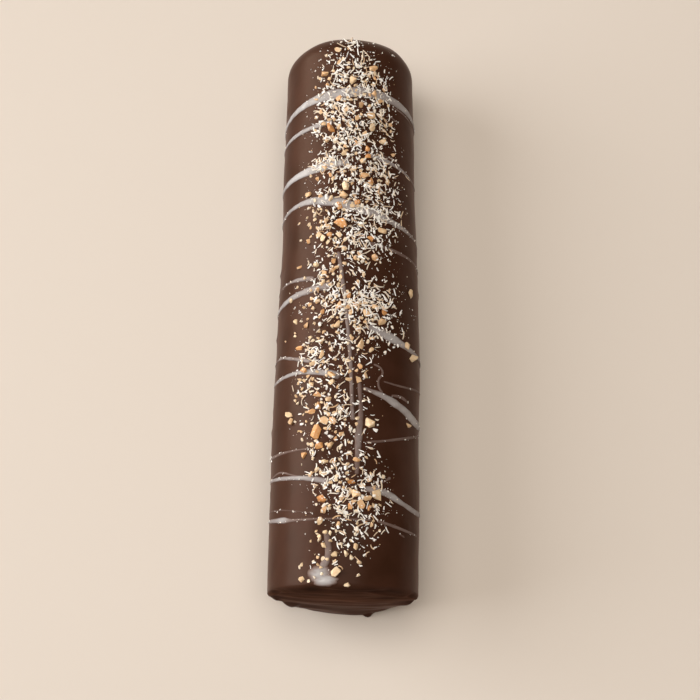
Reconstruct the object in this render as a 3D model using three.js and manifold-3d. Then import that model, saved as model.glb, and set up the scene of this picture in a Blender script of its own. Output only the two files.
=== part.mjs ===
// A swiss roll, whole and uncut, under a coat of dark chocolate.
// It lies along +Y on a narrow flat strip. Icing is drizzled across it, and chopped nuts
// and shreds of coconut are scattered along its crest. Millimetres, +Z up.

import * as THREE from 'three';
import { mergeVertices } from 'three/addons/utils/BufferGeometryUtils.js';
import Module from 'manifold-3d';

const { clamp, degToRad, lerp, smoothstep } = THREE.MathUtils;

// The roll: an oval log, thicker at its near end, with a sharp near rim and a soft far one
const ROLL_LENGTH = 300;
const NEAR_RADIUS = 36.8;
const FAR_RADIUS = 34.4;
const TAPER_FROM = 0.35;
const TAPER_TO = 0.9;
const OVAL = 0.96;
const SEAT = 0.95;
const NEAR_RIM = 3;
const FAR_RIM = 16;

// It swells a little before the near end and sways to the right in the middle: size, y and spread
const BELLY = 0.7;
const BELLY_AT = -95;
const BELLY_SPREAD = 32;
const SWAY = 0.95;
const SWAY_AT = 5;
const SWAY_SPREAD = 62;

// How uneven the coat is
const UNEVEN = 0.007;
const LONG_WAVE = 19;
const SHORT_WAVE = 11;
const SHORT_WAVE_SHARE = 0.6;

// How finely the roll is divided
const AROUND = 40;
const BODY_RINGS = 14;
const RIM_RINGS = 4;
const NEAR_RINGS = 6;
const FAR_RINGS = 2;

// How the coat set on the ends: soft streaks on both, and on the near one a slant, a bow that
// draws its sides back, a wavy lip under the upper rim and a foot against the table
const STREAK = 0.3;
const STREAK_GAP = 2.6;
const STREAK_BEND = 13;
const SLANT = 0.6;
const BOW = 2;
const LIP = 0.9;
const LIP_DROP = 7.5;
const LIP_THICKNESS = 1.8;
const LIP_WAVE = 0.8;
const LIP_WAVE_LENGTH = 5;
const FOOT = 2;
const FOOT_FROM = 0.35;
const FOOT_HALF = 32;

// Drips at the lower rim of the near end: degrees from the crest, share of the radius,
// width, and reach out of the end face
const DRIPS = [
  [-128, 0.91, 8, 1.7],
  [-106, 0.93, 4, 0.8],
  [158, 0.96, 5, 1.9],
  [108, 0.94, 3.5, 0.7],
];
const DRIP_HEIGHT = 0.67;

// How much further the roll reaches past its near end than past its far one, and to the right
// than to the left
const NEAR_REACH = 3.3;
const RIGHT_REACH = 0.75;

// Icing: each strand is laid through stations of degrees from the crest, y and width
const STRAND_RISE = 0.36;
const STRAND_SINK = 0.12;
const STRAND_STEP = 7;
const STRAND_SIDES = 5;
const TIP_FULLNESS = 0.6;
const TIP_SHARE = 0.15;
const STRANDS = [
  [[-98, 101, 2.6], [-50, 107.5, 4], [-18, 110.5, 6.2], [20, 112, 5.6], [60, 109, 4.2], [98, 104, 2.4]],
  [[-98, 89.5, 1.8], [-60, 92, 2.6], [-14, 94.8, 3.2]],
  [[-98, 64.5, 2], [-60, 67, 3.6], [-25, 69, 5.2], [0, 71, 3]],
  [[14, 76, 2.6], [36, 74, 2.8], [70, 70.5, 1.4], [90, 69.5, 1.2]],
  [[-98, 46.5, 1.6], [-50, 50.5, 2.8], [-20, 49.5, 5.4], [14, 43.5, 5], [42, 39.8, 3.4], [96, 34.5, 1.4]],
  [[-64, 8.7, 1.3], [-45, 8.5, 2.4], [-28, 7, 2.8]],
  [[-98, -3.5, 2], [-74, -2.2, 2.6], [-50, 0, 3.4], [-12, 2.6, 4]],
  [[-9, 21, 2], [-5, 5, 2.2], [2, -33, 2], [5.5, -69, 2.2]],
  [[10, -48, 2], [11.5, -64, 2.4], [10, -76, 3.6], [9, -96, 2]],
  [[14, -19.5, 2.6], [36, -23.5, 5], [60, -26.8, 3], [98, -29.5, 1.6]],
  [[-98, -41, 1.8], [-74, -42.4, 2], [-40, -42, 2.6], [-4, -46, 4.6]],
  [[12, -51.5, 1.8], [29, -54.5, 3.4], [49, -59, 5], [70, -63, 5.2], [100, -62, 2.6]],
  [[-98, -91, 1.6], [-60, -94, 2], [-30, -96.5, 2.6], [-8, -99.4, 3.4]],
  [[14, -102, 3], [32, -103.2, 4], [50, -107, 3], [70, -108.8, 3], [94, -107, 1.8]],
  [[-98, -111, 1.6], [-66, -114, 2.2], [-52, -115.2, 3], [-38, -116.3, 1.4]],
  [[-13, -122, 2.4], [-11, -131, 3.4], [-12, -136, 3.6], [-17, -141, 4.4]],
];

// The pools where the last strand ran out at the near rim: arc from the crest, y, half-arc,
// half-length and rise
const POOLS = [
  [-10.8, -142.8, 6, 4.2, 0.7],
  [-8, -146, 6.2, 2.8, 0.8],
];
const POOL_SINK = 0.5;

// The sprinkled band: y, arc from the crest to the middle of the nuts and of the coconut,
// half-width, and how much of the nuts and of the coconut falls there
const BAND = [
  [138, -3, 3, 16, 0.6, 0.6],
  [130, -2, 3, 18, 0.9, 0.9],
  [115, 1, 3, 19, 0.85, 1],
  [100, 1, 2, 21, 0.9, 1],
  [85, 0, 4, 23, 0.9, 1],
  [70, 1, 5, 22, 0.9, 0.9],
  [55, -3, 6, 22, 0.85, 1],
  [40, -7, 6, 22, 1, 1],
  [25, -4, 3, 19, 0.75, 0.85],
  [10, -7, 0, 21, 0.9, 0.8],
  [-5, -8, 4, 25, 0.9, 1],
  [-20, -9, 6, 26, 1, 0.75],
  [-35, -6, -3, 20, 1, 0.5],
  [-50, -12, -8, 18, 0.9, 0.45],
  [-65, -13, -4, 17, 1, 0.5],
  [-80, -9, -2, 18, 0.9, 0.5],
  [-95, 2, 1, 18, 0.85, 0.75],
  [-110, 4, 5, 17, 0.75, 0.75],
  [-125, -2, 3, 15, 0.4, 0.35],
  [-140, -8, -4, 12, 0.3, 0.1],
];
const CORE_SHARE = 0.75;
const FRINGE_SHARE = 0.45;

// Chopped nuts: the large ones and the strays by hand as arc, y and size, the rest by the band
const PLACED_NUTS = [
  [-4.4, 36, 6], [-13.3, -74, 6.2], [-10.7, 91, 5.2], [-10.3, -107, 5.2], [38.2, -30, 5],
  [15.3, -105, 5], [11.2, -69.5, 5], [-3.3, -142.5, 5], [-1.8, 57, 4.8], [19, 85, 4.6],
  [1.4, 119, 4.5], [12.3, 92, 4.4], [36.4, 4, 4.4], [-11, -117.6, 4], [33, -25.5, 3.8],
  [-8.8, -129.5, 3.7], [35.6, -66, 3.7], [5.6, -130, 3.4], [-28.8, -14, 3], [-20, -145, 3],
];
const NUT_COUNT = 80;
const NUT_SEED = 41;
const NUT_LARGE = 4.4;
const NUT_SMALL = 1.6;
const NUT_FADE = 110;
const NUT_LENGTH = [0.9, 1.25];
const NUT_WIDTH = [0.65, 0.95];
const NUT_HEIGHT = [0.45, 0.7];
const NUT_CHIP = [0.78, 1.12];
const NUT_SINK = 0.3;

// Coconut shreds: flat strips
const SHRED_COUNT = 36;
const SHRED_SEED = 77;
const SHRED_LONG = 5;
const SHRED_SHORT = 1.6;
const SHRED_FADE = 420;
const SHRED_WIDTH = 0.95;
const SHRED_THICKNESS = 0.8;
const SHRED_SINK = 0.3;

// Vertices closer than this are one, and the constants of the random rule
const MERGE_GAP = 1e-4;
const DICE_FACTOR = 1664525;
const DICE_STEP = 1013904223;
const DICE_RANGE = 2 ** 32;

const HALF_LENGTH = ROLL_LENGTH / 2;
const MEAN_RADIUS = (NEAR_RADIUS + FAR_RADIUS) / 2;
const CHOCOLATE = new THREE.MeshStandardMaterial({ color: 0x4b3026, roughness: 0.42, metalness: 0 });

const wasm = await Module();
wasm.setup();

// Turns a closed three.js geometry into a solid that can be joined and cut
function solidOf(geometry) {
  geometry.deleteAttribute('normal');
  geometry.deleteAttribute('uv');
  const merged = mergeVertices(geometry, MERGE_GAP);
  const corners = merged.index.array;
  const triangles = [];
  for (let i = 0; i < corners.length; i += 3) {
    const [a, b, c] = corners.slice(i, i + 3);
    if (a !== b && b !== c && c !== a) triangles.push(a, b, c);
  }
  const vertProperties = Float32Array.from(merged.attributes.position.array);
  const triVerts = Uint32Array.from(triangles);
  return new wasm.Manifold(new wasm.Mesh({ numProp: 3, vertProperties, triVerts }));
}

// Moves every vertex of a geometry through a function of its place
function reshape(geometry, place) {
  const position = geometry.attributes.position;
  const vertex = new THREE.Vector3();
  for (let i = 0; i < position.count; i += 1) {
    vertex.fromBufferAttribute(position, i);
    const moved = place(vertex);
    position.setXYZ(i, moved.x, moved.y, moved.z);
  }
  return geometry;
}

// Seeded random numbers from 0 to 1, by a linear congruential rule
function dice(seed) {
  let state = seed;
  return () => {
    state = (Math.imul(state, DICE_FACTOR) + DICE_STEP) >>> 0;
    return state / DICE_RANGE;
  };
}

// A smooth hump from 0 to 1 and back, about a place
function hump(y, place, spread) {
  return Math.exp(-(((y - place) / spread) ** 2));
}

// Half the width of the log at y, before its rims are rounded
function halfWidth(y) {
  const share = (y + HALF_LENGTH) / ROLL_LENGTH;
  const tapered = lerp(NEAR_RADIUS, FAR_RADIUS, smoothstep(share, TAPER_FROM, TAPER_TO));
  return tapered + BELLY * hump(y, BELLY_AT, BELLY_SPREAD);
}

// How far the log's axis lies to the right at y
function sway(y) {
  return SWAY * hump(y, SWAY_AT, SWAY_SPREAD);
}

function axisHeight(y) {
  return SEAT * OVAL * halfWidth(y);
}

// How far a rounded rim draws the side in, at a distance from that end
function rimInset(rim, distance) {
  const short = Math.max(0, rim - distance);
  return rim - Math.sqrt(rim * rim - short * short);
}

function sideRadius(y) {
  return halfWidth(y) - rimInset(NEAR_RIM, HALF_LENGTH + y) - rimInset(FAR_RIM, HALF_LENGTH - y);
}

// The coat is a little thicker in some places than in others
function unevenness(angle, y) {
  const broad = Math.sin(2 * angle + y / LONG_WAVE);
  const tight = Math.sin(3 * angle - y / SHORT_WAVE);
  return 1 + UNEVEN * (broad + SHORT_WAVE_SHARE * tight);
}

// A point of the log's side, lifted off it
function coatPoint(angle, y, lift) {
  const reach = sideRadius(y) * unevenness(angle, y) + lift;
  const x = sway(y) + reach * Math.sin(angle);
  return new THREE.Vector3(x, y, axisHeight(y) + OVAL * reach * Math.cos(angle));
}

// Places a small rigid thing on the coat, turned about the outward direction
function laidOnCoat(geometry, arc, y, lift, turn) {
  const angle = arc / MEAN_RADIUS;
  const around = new THREE.Vector3(Math.cos(angle), 0, -Math.sin(angle));
  const along = new THREE.Vector3(0, 1, 0);
  const outward = new THREE.Vector3(Math.sin(angle), 0, Math.cos(angle));
  const frame = new THREE.Matrix4().makeBasis(around, along, outward);
  frame.setPosition(coatPoint(angle, y, lift));
  frame.multiply(new THREE.Matrix4().makeRotationZ(turn));
  return solidOf(geometry.applyMatrix4(frame));
}

function streaks(x, z) {
  return STREAK * Math.sin(z / STREAK_GAP + Math.sin(x / STREAK_BEND));
}

// How far the coat stands out of the near end, at a place beside and above the axis
function nearRelief(x, z) {
  const rimHeight = OVAL * Math.sqrt(Math.max(0, NEAR_RADIUS ** 2 - x ** 2));
  const lipHeight = rimHeight - LIP_DROP + LIP_WAVE * Math.sin(x / LIP_WAVE_LENGTH);
  const lip = LIP * Math.exp(-(((z - lipHeight) / LIP_THICKNESS) ** 2));
  const low = smoothstep(-z / NEAR_RADIUS, FOOT_FROM, 1);
  const foot = FOOT * low * Math.max(0, 1 - (x / FOOT_HALF) ** 2);
  const aside = x / NEAR_RADIUS;
  return streaks(x, z) + SLANT * aside - BOW * aside ** 2 + lip + foot;
}

// The log as a turned profile, from the middle of the near end to the middle of the far one
function logProfile() {
  const nearFlat = sideRadius(-HALF_LENGTH);
  const farFlat = sideRadius(HALF_LENGTH);
  const points = [];
  for (let ring = 0; ring < NEAR_RINGS; ring += 1) {
    points.push(new THREE.Vector2(nearFlat * Math.sqrt(ring / NEAR_RINGS), -HALF_LENGTH));
  }
  for (let ring = 0; ring < RIM_RINGS; ring += 1) {
    const y = NEAR_RIM * (1 - Math.cos(ring / RIM_RINGS * Math.PI / 2)) - HALF_LENGTH;
    points.push(new THREE.Vector2(sideRadius(y), y));
  }
  for (let ring = 0; ring <= BODY_RINGS; ring += 1) {
    const y = lerp(NEAR_RIM - HALF_LENGTH, HALF_LENGTH - FAR_RIM, ring / BODY_RINGS);
    points.push(new THREE.Vector2(sideRadius(y), y));
  }
  for (let ring = 1; ring <= RIM_RINGS; ring += 1) {
    const y = HALF_LENGTH - FAR_RIM * (1 - Math.sin(ring / RIM_RINGS * Math.PI / 2));
    points.push(new THREE.Vector2(sideRadius(y), y));
  }
  for (let ring = FAR_RINGS - 1; ring >= 0; ring -= 1) {
    points.push(new THREE.Vector2(farFlat * ring / FAR_RINGS, HALF_LENGTH));
  }
  return points;
}

// Turned, then made oval and uneven, with the relief of its ends fading over their rims
function log() {
  const turned = new THREE.LatheGeometry(logProfile(), AROUND);
  return solidOf(reshape(turned, (vertex) => {
    const angle = Math.atan2(vertex.x, vertex.z);
    const thick = unevenness(angle, vertex.y);
    const x = vertex.x * thick;
    const z = OVAL * vertex.z * thick;
    const near = vertex.y < 0;
    const onEnd = clamp(1 - (HALF_LENGTH - Math.abs(vertex.y)) / (near ? NEAR_RIM : FAR_RIM), 0, 1);
    const out = onEnd * (near ? nearRelief(x, z) : streaks(x, z));
    const y = near ? vertex.y - out : vertex.y + out;
    return new THREE.Vector3(x + sway(vertex.y), y, axisHeight(vertex.y) + z);
  }));
}

// A drip of set chocolate on the near end
function drip([degrees, share, width, reach]) {
  const angle = degToRad(degrees);
  const radius = share * halfWidth(-HALF_LENGTH);
  const x = radius * Math.sin(angle);
  const z = OVAL * radius * Math.cos(angle);
  const drop = new THREE.SphereGeometry(1, 8, 6);
  drop.scale(width / 2, reach, DRIP_HEIGHT * width / 2);
  drop.translate(x, -HALF_LENGTH - nearRelief(x, z), axisHeight(-HALF_LENGTH) + z);
  return solidOf(drop);
}

// A strand of icing: a sausage with tapered tips, bent to its stations and to the coat
function strand(stations) {
  const line = new THREE.CatmullRomCurve3(
    stations.map(([degrees, y, width]) => new THREE.Vector3(degToRad(degrees) * MEAN_RADIUS, y, width)),
    false,
    'catmullrom',
  );
  const steps = Math.ceil(line.getLength() / STRAND_STEP);
  const profile = [new THREE.Vector2(0, 0), new THREE.Vector2(TIP_FULLNESS, TIP_SHARE / steps)];
  for (let i = 1; i < steps; i += 1) {
    profile.push(new THREE.Vector2(1, i / steps));
  }
  profile.push(new THREE.Vector2(TIP_FULLNESS, 1 - TIP_SHARE / steps), new THREE.Vector2(0, 1));
  const sausage = new THREE.LatheGeometry(profile, STRAND_SIDES);
  return solidOf(reshape(sausage, (vertex) => {
    const share = clamp(vertex.y, 0, 1);
    const { x: arc, y, z: width } = line.getPointAt(share);
    const heading = line.getTangentAt(share).setZ(0).normalize();
    const across = vertex.x * width / 2;
    const lift = STRAND_RISE * Math.sqrt(width) * vertex.z - STRAND_SINK;
    return coatPoint((arc + across * heading.y) / MEAN_RADIUS, y - across * heading.x, lift);
  }));
}

function pool([arc, middle, halfArc, halfLength, rise]) {
  const lens = new THREE.SphereGeometry(1, 10, 5);
  return solidOf(reshape(lens, (vertex) => {
    const angle = (arc + halfArc * vertex.x) / MEAN_RADIUS;
    const lift = vertex.z > 0 ? rise * vertex.z : POOL_SINK * vertex.z;
    return coatPoint(angle, middle + halfLength * vertex.y, lift);
  }));
}

// The band at y: where nuts and coconut have their middles, its half-width and their shares
function bandAt(y) {
  const next = Math.max(1, BAND.findIndex((knot) => knot[0] <= y));
  const [above, below] = [BAND[next - 1], BAND[next]];
  const part = (above[0] - y) / (above[0] - below[0]);
  const [, nutMiddle, shredMiddle, half, nutShare, shredShare] = above.map((v, i) => lerp(v, below[i], part));
  return { half, nuts: [nutMiddle, nutShare], shreds: [shredMiddle, shredShare] };
}

// Scatters things over the band, largest first and clear of those already there
function scatter(count, seed, kind, sizeOf, taken) {
  const roll = dice(seed);
  const first = BAND[0][0];
  const last = BAND[BAND.length - 1][0];
  const placed = [];
  while (placed.length < count) {
    const y = lerp(last, first, roll());
    const band = bandAt(y);
    const offset = CORE_SHARE * (2 * roll() - 1) + FRINGE_SHARE * (2 * roll() - 1);
    const [middle, share] = band[kind];
    const arc = middle + band.half * offset;
    const chance = roll();
    const turn = roll() * Math.PI;
    const size = sizeOf(placed.length);
    const others = [...taken, ...placed];
    const free = others.every((other) => Math.hypot(other.arc - arc, other.y - y) > (other.size + size) / 2);
    if (chance < share && free) placed.push({ arc, y, size, turn });
  }
  return placed;
}

function nutSize(rank) {
  return NUT_SMALL + (NUT_LARGE - NUT_SMALL) * Math.exp(-rank / NUT_FADE);
}

function shredSize(rank) {
  return SHRED_SHORT + (SHRED_LONG - SHRED_SHORT) * Math.exp(-rank / SHRED_FADE);
}

// A chopped nut: an angular chip, each corner broken off at its own depth
function nut({ arc, y, size, turn }, rank) {
  const roll = dice(NUT_SEED + rank + 1);
  const between = ([low, high]) => lerp(low, high, roll());
  const facets = new THREE.IcosahedronGeometry(0.5);
  facets.deleteAttribute('normal');
  facets.deleteAttribute('uv');
  const chip = mergeVertices(facets);
  reshape(chip, (vertex) => vertex.multiplyScalar(between(NUT_CHIP)));
  const height = size * between(NUT_HEIGHT);
  chip.scale(size * between(NUT_LENGTH), size * between(NUT_WIDTH), height);
  return laidOnCoat(chip, arc, y, height * (0.5 - NUT_SINK), turn);
}

function shred({ arc, y, size, turn }) {
  const strip = new THREE.BoxGeometry(size, SHRED_WIDTH, SHRED_THICKNESS);
  return laidOnCoat(strip, arc, y, SHRED_THICKNESS / 2 - SHRED_SINK, turn);
}

// Everything below the table plane, cut away to leave one flat seat
function belowTable() {
  const depth = 2 * NEAR_RADIUS;
  const block = new THREE.BoxGeometry(2 * depth, 2 * ROLL_LENGTH, depth);
  return solidOf(block.translate(0, 0, -depth / 2));
}

function meshOf(name, solid, material) {
  const { vertProperties, triVerts } = solid.getMesh();
  const geometry = new THREE.BufferGeometry();
  geometry.setAttribute('position', new THREE.BufferAttribute(vertProperties, 3));
  geometry.setIndex(new THREE.BufferAttribute(triVerts, 1));
  geometry.computeVertexNormals();
  const mesh = new THREE.Mesh(geometry, material);
  mesh.name = name;
  return mesh;
}

const placedNuts = PLACED_NUTS.map(([arc, y, size], i) => ({ arc, y, size, turn: i }));
const strewnCount = NUT_COUNT - placedNuts.length;
const strewnNuts = scatter(strewnCount, NUT_SEED, 'nuts', nutSize, placedNuts);
const nuts = [...placedNuts, ...strewnNuts];
const shreds = scatter(SHRED_COUNT, SHRED_SEED, 'shreds', shredSize, nuts);

const pieces = [
  ...DRIPS.map(drip),
  ...STRANDS.map(strand),
  ...POOLS.map(pool),
  ...nuts.map(nut),
  ...shreds.map(shred),
];
const whole = pieces.reduce((joined, piece) => joined.add(piece), log());
const swissRoll = meshOf('swiss_roll', whole.subtract(belowTable()), CHOCOLATE);

// Foot and drips make the near end longer and the sway widens the right, so the roll moves by half
// of each to be centred
swissRoll.position.set(-RIGHT_REACH / 2, NEAR_REACH / 2, 0);

const group = new THREE.Group();
group.add(swissRoll);

export default group;
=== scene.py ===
# %% [markdown]
# # A chocolate swiss roll with drizzle, nuts and coconut
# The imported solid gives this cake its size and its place. In this lesson we dress it in what the eye
# sees: a satin coat of dark chocolate, strands of thin icing, and a sprinkled band of chopped nuts and
# coconut. Every piece is a mesh in the solid's own frame, in metres, so nothing has to be fitted later.

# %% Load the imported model
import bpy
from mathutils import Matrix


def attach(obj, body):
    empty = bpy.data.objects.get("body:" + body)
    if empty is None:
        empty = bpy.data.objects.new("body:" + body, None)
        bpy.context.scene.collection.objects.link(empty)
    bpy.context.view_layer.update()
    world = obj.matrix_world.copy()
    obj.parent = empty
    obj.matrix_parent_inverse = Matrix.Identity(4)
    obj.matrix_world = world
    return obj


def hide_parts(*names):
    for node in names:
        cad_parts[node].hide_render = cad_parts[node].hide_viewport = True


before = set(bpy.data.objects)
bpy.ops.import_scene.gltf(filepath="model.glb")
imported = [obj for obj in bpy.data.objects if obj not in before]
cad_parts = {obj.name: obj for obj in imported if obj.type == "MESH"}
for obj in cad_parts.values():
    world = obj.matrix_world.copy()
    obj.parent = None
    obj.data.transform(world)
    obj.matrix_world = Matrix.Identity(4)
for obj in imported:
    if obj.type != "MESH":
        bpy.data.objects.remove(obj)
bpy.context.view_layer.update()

# %% Libraries and units
import math

import bmesh
import bpy
import numpy as np
from mathutils import Matrix, Vector, kdtree, noise

MM = 0.001
print("units: sizes in mm, scene in m, factor", MM)

# %% [markdown]
# ## The shape that everything lies on
# The roll is an oval log, a little thicker towards the near end and bent a trifle to the right in the
# middle. Its near rim is crisp, its far rim is soft, and it has settled onto a narrow flat strip. We
# could read this shape off the solid with ray casts, but a few sizes and formulas describe it exactly.
# They are the solid's own, so every piece lands where the solid has it. A place on the coat is an angle
# from the crest, a distance y along the roll and a lift outwards, in millimetres.

# %% Sizes of the roll
ROLL_LENGTH = 300
HALF_LENGTH = ROLL_LENGTH / 2
NEAR_RADIUS, FAR_RADIUS = 36.8, 34.4
MEAN_RADIUS = (NEAR_RADIUS + FAR_RADIUS) / 2
TAPER_FROM, TAPER_TO = 0.35, 0.9
OVAL = 0.96
SEAT = 0.95
BELLY, BELLY_AT, BELLY_SPREAD = 0.7, -95, 32
SWAY, SWAY_AT, SWAY_SPREAD = 0.95, 5, 62


def clamp(value, low=0.0, high=1.0):
    return max(low, min(high, value))


def hump(value, middle, spread):
    return math.exp(-((value - middle) / spread) ** 2)


def half_width(y):
    share = (y + HALF_LENGTH) / ROLL_LENGTH
    k = clamp((share - TAPER_FROM) / (TAPER_TO - TAPER_FROM))
    tapered = NEAR_RADIUS + (FAR_RADIUS - NEAR_RADIUS) * k * k * (3 - 2 * k)
    return tapered + BELLY * hump(y, BELLY_AT, BELLY_SPREAD)


def sway(y):
    return SWAY * hump(y, SWAY_AT, SWAY_SPREAD)


def axis_height(y):
    return SEAT * OVAL * half_width(y)


print("half-width near, middle, far, mm:", [round(half_width(y), 1) for y in (-HALF_LENGTH, 0, HALF_LENGTH)])

# %% Places on the coat
NEAR_RIM, FAR_RIM = 3, 16
UNEVEN = 0.007
LONG_WAVE, SHORT_WAVE, SHORT_WAVE_SHARE = 19, 11, 0.6
NEAR_REACH, RIGHT_REACH = 3.3, 0.75
CENTRED = Vector((-RIGHT_REACH / 2, NEAR_REACH / 2, 0))


def rim_inset(rim, distance):
    short = clamp(rim - distance, 0.0, rim)
    return rim - math.sqrt(rim * rim - short * short)


def side_radius(y):
    return half_width(y) - rim_inset(NEAR_RIM, HALF_LENGTH + y) - rim_inset(FAR_RIM, HALF_LENGTH - y)


def unevenness(angle, y):
    broad = math.sin(2 * angle + y / LONG_WAVE)
    tight = math.sin(3 * angle - y / SHORT_WAVE)
    return 1 + UNEVEN * (broad + SHORT_WAVE_SHARE * tight)


def in_frame(x, y, z):
    return (Vector((x, y, max(z, 0.0))) + CENTRED) * MM


def coat_point(angle, y, lift=0.0):
    reach = side_radius(y) * unevenness(angle, y) + lift
    return in_frame(sway(y) + reach * math.sin(angle), y, axis_height(y) + OVAL * reach * math.cos(angle))


print("crest height at the middle, mm:", round(coat_point(0, 0).z / MM, 1))

# %% [markdown]
# ## Random draws that repeat
# Toppings fall anywhere, but the cake has to come out the same each time. One short rule of whole
# numbers gives the same draws in any language, so the largest nuts and shreds here are the very ones
# that the solid carries.

# %% Seeded dice
DICE_FACTOR, DICE_STEP, DICE_RANGE = 1664525, 1013904223, 2 ** 32


def dice(seed):
    state = seed

    def roll(low=0.0, high=1.0):
        nonlocal state
        state = (state * DICE_FACTOR + DICE_STEP) % DICE_RANGE
        return low + (high - low) * state / DICE_RANGE

    return roll


print("first draws:", [round(dice(41)(), 4), round(dice(77)(), 4)])

# %% [markdown]
# ## Colours and nodes
# Colours are picked as sRGB hex values, as a paint program shows them, while the shader reckons in
# linear light. One function turns one into the other, and one more adds a shader node with its
# settings and links.


# %% Helpers for colours and nodes
def colour(code):
    def linear(part):
        return part / 12.92 if part <= 0.04045 else ((part + 0.055) / 1.055) ** 2.4

    return (*[linear(int(code[i:i + 2], 16) / 255) for i in (1, 3, 5)], 1.0)


def add_node(tree, kind, inputs=None, **settings):
    made = tree.nodes.new(kind)
    for name, value in settings.items():
        setattr(made, name, value)
    for key, value in (inputs or {}).items():
        if isinstance(value, bpy.types.NodeSocket):
            tree.links.new(value, made.inputs[key])
        else:
            made.inputs[key].default_value = value
    return made


print("sample colour:", [round(c, 3) for c in colour("#4A2E24")])


# %% Helpers for materials
def new_material(name):
    material = bpy.data.materials.new(name)
    material.use_nodes = True
    tree = material.node_tree
    tree.nodes.clear()
    surface = add_node(tree, "ShaderNodeBsdfPrincipled")
    add_node(tree, "ShaderNodeOutputMaterial", {"Surface": surface.outputs["BSDF"]})
    return material, tree, surface


def set_stops(ramp, stops):
    elements = ramp.color_ramp.elements
    while len(elements) < len(stops):
        elements.new(0.5)
    for element, (place, code) in zip(elements, stops):
        element.position = place
        element.color = colour(code)


print("materials so far:", len(bpy.data.materials))

# %% [markdown]
# ## Dark chocolate
# Couverture that set in still air: smooth and satin rather than glossy, with a faint cloudy bloom and
# very shallow dimples where it sagged. Cocoa butter has an IOR near 1.46. The cloud is about 16 mm
# across and the dimples about 3 mm, and both stay weak, so that the eye reads one even coat. A painted
# image could show them too, but noise needs no file and never repeats. Seen at a slant, dark chocolate
# gets a warm brown edge, which a weak sheen gives it. The near end set duller than the rest, so a value
# called dull roughens it, and painted shade darkens the colour in the crease and hollow under its rim.

# %% Chocolate material
chocolate, tree, surface = new_material("satin_dark_chocolate")
BLOOM_MM = 16
NOISE_LOW, NOISE_HIGH = 0.3, 0.7
SATIN, CLOUDED, DULL = 0.30, 0.38, 0.85
place = add_node(tree, "ShaderNodeTexCoord").outputs["Object"]
bloom = add_node(tree, "ShaderNodeTexNoise", {"Vector": place, "Scale": 1 / (BLOOM_MM * MM), "Detail": 4.0})
tint = add_node(tree, "ShaderNodeValToRGB", {"Fac": bloom.outputs["Fac"]})
set_stops(tint, [(NOISE_LOW, "#392217"), (NOISE_HIGH, "#442A1F")])
# Painted shade: in the crease and the hollow of the near end the colour is darkened towards near black.
painted_shade_amount = add_node(tree, "ShaderNodeAttribute", attribute_name="painted_shade").outputs["Fac"]
colour_with_painted_shade = add_node(tree, "ShaderNodeMix", {
    "Factor": painted_shade_amount, "A": tint.outputs["Color"], "B": colour("#1C0E08")}, data_type="RGBA")
gloss = add_node(tree, "ShaderNodeMapRange", {
    "Value": bloom.outputs["Fac"], "From Min": NOISE_LOW, "From Max": NOISE_HIGH,
    "To Min": SATIN, "To Max": CLOUDED})
dull = add_node(tree, "ShaderNodeAttribute", attribute_name="dull").outputs["Fac"]
finish = add_node(tree, "ShaderNodeMapRange", {
    "Value": dull, "To Min": gloss.outputs["Result"], "To Max": DULL})
tree.links.new(colour_with_painted_shade.outputs["Result"], surface.inputs["Base Color"])
tree.links.new(finish.outputs["Result"], surface.inputs["Roughness"])
print("colour and gloss of:", chocolate.name)

# %% Dimples and edge of the chocolate
DIMPLE_MM, DIMPLE_DEPTH_MM = 3.2, 0.4
dimples = add_node(tree, "ShaderNodeTexNoise", {
    "Vector": place, "Scale": 1 / (DIMPLE_MM * MM), "Detail": 3.0})
relief = add_node(tree, "ShaderNodeBump", {
    "Height": dimples.outputs["Fac"], "Strength": 0.12, "Distance": DIMPLE_DEPTH_MM * MM})
tree.links.new(relief.outputs["Normal"], surface.inputs["Normal"])
surface.inputs["IOR"].default_value = 1.46
surface.inputs["Specular IOR Level"].default_value = 0.06
surface.inputs["Sheen Weight"].default_value = 0.16
surface.inputs["Sheen Roughness"].default_value = 0.4
surface.inputs["Sheen Tint"].default_value = colour("#B46A3C")
print("material:", chocolate.name)

# %% [markdown]
# ## The coat
# The whole outside of the cake is one skin of chocolate. A cylinder primitive has no rims and no
# taper, so we draw half of the log's outline once, spin it about its length, and then move each vertex
# to its place on the oval, settled section. The spin leaves many copies of the middle of each end, apart
# by rounding alone. Doubles within a thousandth of a millimetre are merged, which closes both ends.

# %% Spin an outline into a closed form
MERGE_GAP = 0.001


def turned(profile, steps):
    bm = bmesh.new()
    chain = [bm.verts.new((radius, along, 0.0)) for radius, along in profile]
    links = [bm.edges.new(pair) for pair in zip(chain, chain[1:])]
    bmesh.ops.spin(bm, geom=chain + links, cent=(0, 0, 0), axis=(0, 1, 0),
                   angle=math.tau, steps=steps, use_merge=True)
    bmesh.ops.remove_doubles(bm, verts=bm.verts, dist=MERGE_GAP)
    return bm


print("merge gap, mm:", MERGE_GAP)


# %% Outline of the log
def log_outline(body_step=2.0, face_step=0.7, rim_turns=10):
    near_flat, far_flat = side_radius(-HALF_LENGTH), side_radius(HALF_LENGTH)
    outline = [(r, -HALF_LENGTH) for r in np.linspace(0, near_flat, round(near_flat / face_step))[:-1]]
    quarter = np.linspace(0, math.pi / 2, rim_turns)
    stations = [NEAR_RIM * (1 - math.cos(turn)) - HALF_LENGTH for turn in quarter]
    straight = np.linspace(NEAR_RIM - HALF_LENGTH, HALF_LENGTH - FAR_RIM, round(ROLL_LENGTH / body_step))
    stations += list(straight[1:-1])
    far_turns = np.linspace(0, math.pi / 2, 2 * rim_turns)
    stations += [HALF_LENGTH - FAR_RIM * (1 - math.sin(turn)) for turn in far_turns]
    outline += [(side_radius(y), y) for y in stations]
    outline += [(r, HALF_LENGTH) for r in np.linspace(far_flat, 0, round(far_flat / face_step))[1:]]
    return outline


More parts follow.
